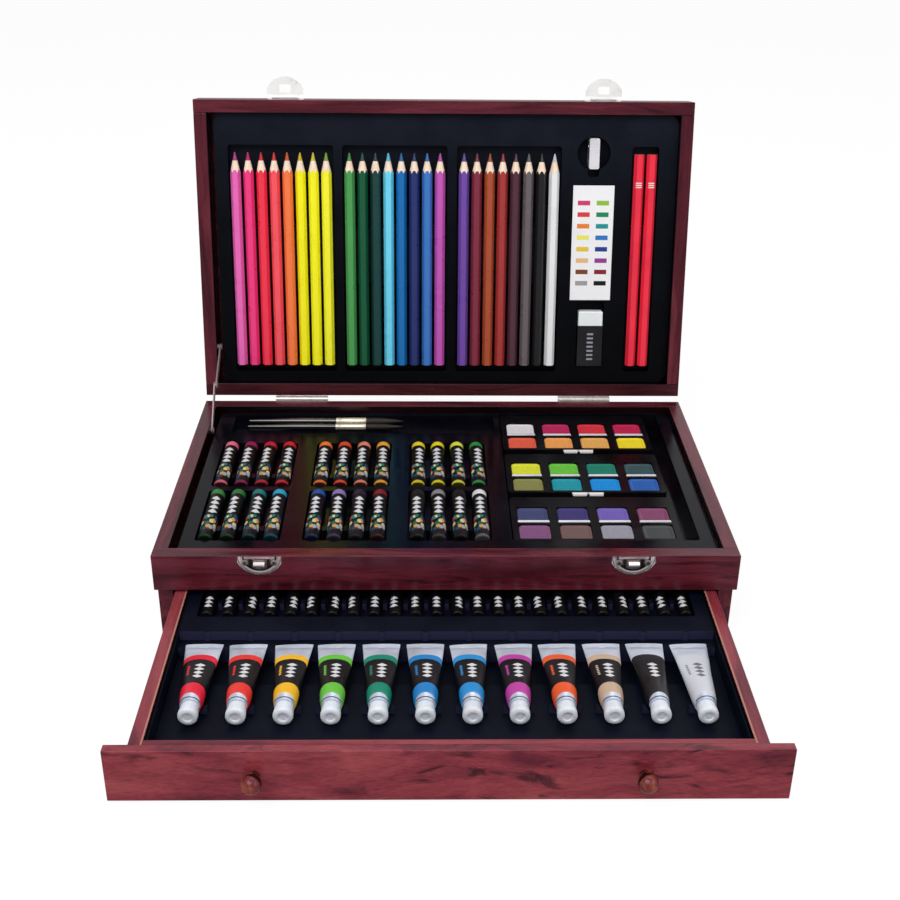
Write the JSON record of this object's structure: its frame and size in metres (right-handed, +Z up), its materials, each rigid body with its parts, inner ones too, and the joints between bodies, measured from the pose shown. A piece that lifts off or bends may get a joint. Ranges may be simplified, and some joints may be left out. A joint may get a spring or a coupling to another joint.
{
  "type": "artist's pencil drawer box",
  "caption": "Hinged wooden art case with fitted trays of pencils, pastels and watercolours, a full-width drawer of paint tubes and crayons, lid stay and hasp latches.",
  "frame": {"origin": "centre of the case's underside, on the surface it stands on", "axes": "+X to the right as seen from the front, +Y to the back, +Z up; at rest the lid leans back and the drawer is pulled out to -Y"},
  "size_m": [0.385, 0.4722, 0.3152],
  "materials": {
    "case_wood": "satin lacquer, dark red-brown",
    "drawer_wood": "satin lacquer, red-brown with dark grain",
    "tray_plastic": "thin moulded sheet, near black",
    "pastel_wax": "waxy sticks in dark paper wrappers",
    "crayon_wrap": "dark paper wrappers",
    "palette_plastic": "gloss moulding",
    "paint_cake": "matt pressed pigment",
    "brush_lacquer": "gloss dark lacquer",
    "ferrule_metal": "polished, pale gold",
    "brush_hair": "smooth bristle",
    "nickel": "polished nickel plate",
    "screw_steel": "nickel-plated steel",
    "stay_steel": "zinc-plated steel",
    "pencil_lacquer": "gloss lacquer, pale wood at the cone",
    "graphite_lacquer": "gloss lacquer",
    "sharpener_metal": "cast, satin",
    "blade_steel": "ground",
    "card": "printed card",
    "eraser_rubber": "smooth white vinyl",
    "sleeve_card": "dark printed card",
    "tube_metal": "soft metal with printed bands",
    "cap_plastic": "white moulding"
  },
  "bodies": {
    "case": {"box_front_rail": "case_wood", "box_back_rail": "case_wood", "box_left_rail": "case_wood", "box_right_rail": "case_wood", "box_floor": "case_wood", "base_left_side": "case_wood", "base_right_side": "case_wood", "base_back": "case_wood", "base_bottom": "case_wood", "upper_tray": "tray_plastic", "oil_pastels": "pastel_wax", "paint_palettes": "palette_plastic", "paint_cakes": "paint_cake", "brush_handles": "brush_lacquer", "brush_ferrules": "ferrule_metal", "brush_hairs": "brush_hair", "hinge_case_leaves": "nickel", "hinge_case_screws": "screw_steel", "hinge_pins": "nickel", "latch_keepers": "nickel", "keeper_screws": "screw_steel", "stay_case_rivet": "stay_steel"},
    "lid": {"lid_front_rail": "case_wood", "lid_back_rail": "case_wood", "lid_left_rail": "case_wood", "lid_right_rail": "case_wood", "lid_panel": "case_wood", "lid_tray": "tray_plastic", "pencils_left": "pencil_lacquer", "pencils_middle": "pencil_lacquer", "pencils_right": "pencil_lacquer", "graphite_pencils": "graphite_lacquer", "sharpener_body": "sharpener_metal", "sharpener_blade": "blade_steel", "colour_chart": "card", "eraser": "eraser_rubber", "eraser_sleeve": "sleeve_card", "hinge_lid_leaves": "nickel", "hinge_lid_screws": "screw_steel", "latch_plates": "nickel", "latch_pins": "nickel", "latch_screws": "screw_steel", "stay_lid_rivet": "stay_steel"},
    "drawer": {"drawer_front": "drawer_wood", "drawer_sub_front": "drawer_wood", "drawer_left_side": "drawer_wood", "drawer_right_side": "drawer_wood", "drawer_back": "drawer_wood", "drawer_bottom": "drawer_wood", "drawer_knobs": "drawer_wood", "knob_screws": "screw_steel", "drawer_tray": "tray_plastic", "paint_tubes": "tube_metal", "tube_caps": "cap_plastic", "crayons": "crayon_wrap"},
    "left_hasp": {"left_hasp": "nickel"},
    "right_hasp": {"right_hasp": "nickel"},
    "stay_lower": {"stay_lower_arm": "stay_steel"},
    "stay_upper": {"stay_upper_arm": "stay_steel"}
  },
  "joints": [
    {"name": "lid_hinge", "type": "hinge", "parent": "case", "child": "lid", "pos_m": [0, 0.1199, 0.0653], "axis": [1, 0, 0], "range_deg": [0, 100]},
    {"name": "drawer_slide", "type": "slide", "parent": "case", "child": "drawer", "axis": [0, 1, 0], "range_m": [0, 0.155]},
    {"name": "left_hasp_hinge", "type": "hinge", "parent": "lid", "child": "left_hasp", "pos_m": [-0.122, 0.16317, 0.30036], "axis": [1, 0, 0], "range_deg": [-90, 90]},
    {"name": "right_hasp_hinge", "type": "hinge", "parent": "lid", "child": "right_hasp", "pos_m": [0.122, 0.16317, 0.30036], "axis": [1, 0, 0], "range_deg": [-90, 90]},
    {"name": "stay_case_pivot", "type": "hinge", "parent": "case", "child": "stay_lower", "pos_m": [-0.1817, 0.075, 0.059], "axis": [1, 0, 0], "range_deg": [0, 112]},
    {"name": "stay_lid_pivot", "type": "hinge", "parent": "lid", "child": "stay_upper", "pos_m": [-0.1804, 0.13338, 0.10547], "axis": [1, 0, 0], "range_deg": [-136, 0]}
  ],
  "couplings": [
    {"joint": "stay_case_pivot", "follows": "lid_hinge", "ratio": 1.1037},
    {"joint": "stay_lid_pivot", "follows": "lid_hinge", "ratio": -1.3419}
  ]
}
